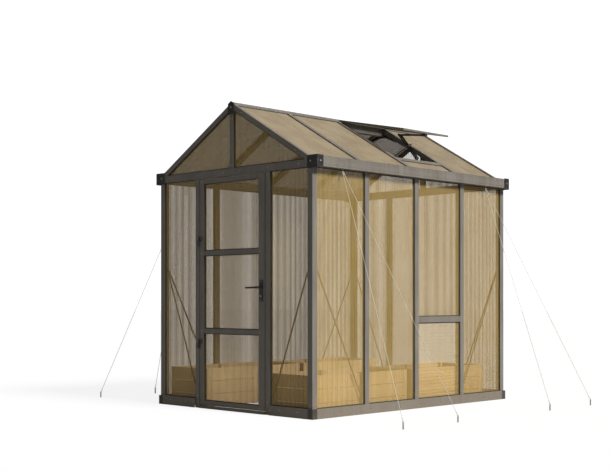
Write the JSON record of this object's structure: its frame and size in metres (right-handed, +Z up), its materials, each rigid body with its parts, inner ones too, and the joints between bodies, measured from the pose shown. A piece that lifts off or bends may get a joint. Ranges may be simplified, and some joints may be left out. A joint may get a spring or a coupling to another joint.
{
  "type": "walk-in greenhouse",
  "caption": "Small aluminium walk-in greenhouse with twin-wall sheets, a hinged door, gutters, a propped roof vent, raised timber beds and guy ropes.",
  "frame": {"origin": "middle of the footprint, on the ground", "axes": "+X to the right of someone facing the door, +Y from the door to the back wall, +Z up"},
  "size_m": [3.576, 2.505, 2.4755],
  "materials": {
    "frame": "satin powder coat, warm dark grey",
    "plastic": "moulded, satin black",
    "wall_sheet": "twin-wall sheet, ribbed, bronze tint",
    "roof_sheet": "twin-wall sheet, ribbed, bronze tint, hazy",
    "steel": "galvanised, dull",
    "wood": "planed pine, untreated",
    "rope": "braided cord, pale"
  },
  "bodies": {
    "greenhouse": {"base_sills": "frame", "threshold": "frame", "corner_posts": "frame", "wall_posts": "frame", "door_jambs": "frame", "back_posts": "frame", "gable_beams": "frame", "king_posts": "frame", "gutter_right": "frame", "gutter_left": "frame", "ridge_beam": "frame", "gable_rafters": "frame", "roof_rafters": "frame", "mid_rail": "frame", "vent_transom": "frame", "vent_leaf_frame": "frame", "base_corners": "plastic", "eave_corners": "plastic", "ridge_ends": "plastic", "vent_opener_brackets": "plastic", "vent_opener_arms": "plastic", "jamb_hinges": "plastic", "wall_sheets_right": "wall_sheet", "low_sheet": "wall_sheet", "wall_sheets_left": "wall_sheet", "front_sheets": "wall_sheet", "back_sheets": "wall_sheet", "gable_sheets": "wall_sheet", "vent_leaf_sheet": "wall_sheet", "roof_sheets_right": "roof_sheet", "roof_sheets_left": "roof_sheet", "wall_braces": "steel", "vent_opener_cylinder": "steel", "rope_hooks": "steel", "ground_pegs": "steel", "beds_right": "wood", "beds_left": "wood", "guy_ropes": "rope"},
    "door": {"door_stiles": "frame", "door_rails": "frame", "door_sheets": "wall_sheet", "door_hinges": "plastic", "handle_plates": "plastic"},
    "handle": {"door_handle": "plastic"}
  },
  "joints": [
    {"name": "door_hinge", "type": "hinge", "parent": "greenhouse", "child": "door", "pos_m": [-0.392, -1.233, 0.95], "axis": [0, 0, -1], "range_deg": [0, 110]},
    {"name": "handle_turn", "type": "hinge", "parent": "door", "child": "handle", "pos_m": [0.3515, -1.21, 0.985], "axis": [0, -1, 0], "range_deg": [0, 40], "stiffness_Nm_per_rad": 1.2, "springref_deg": -20.05}
  ]
}
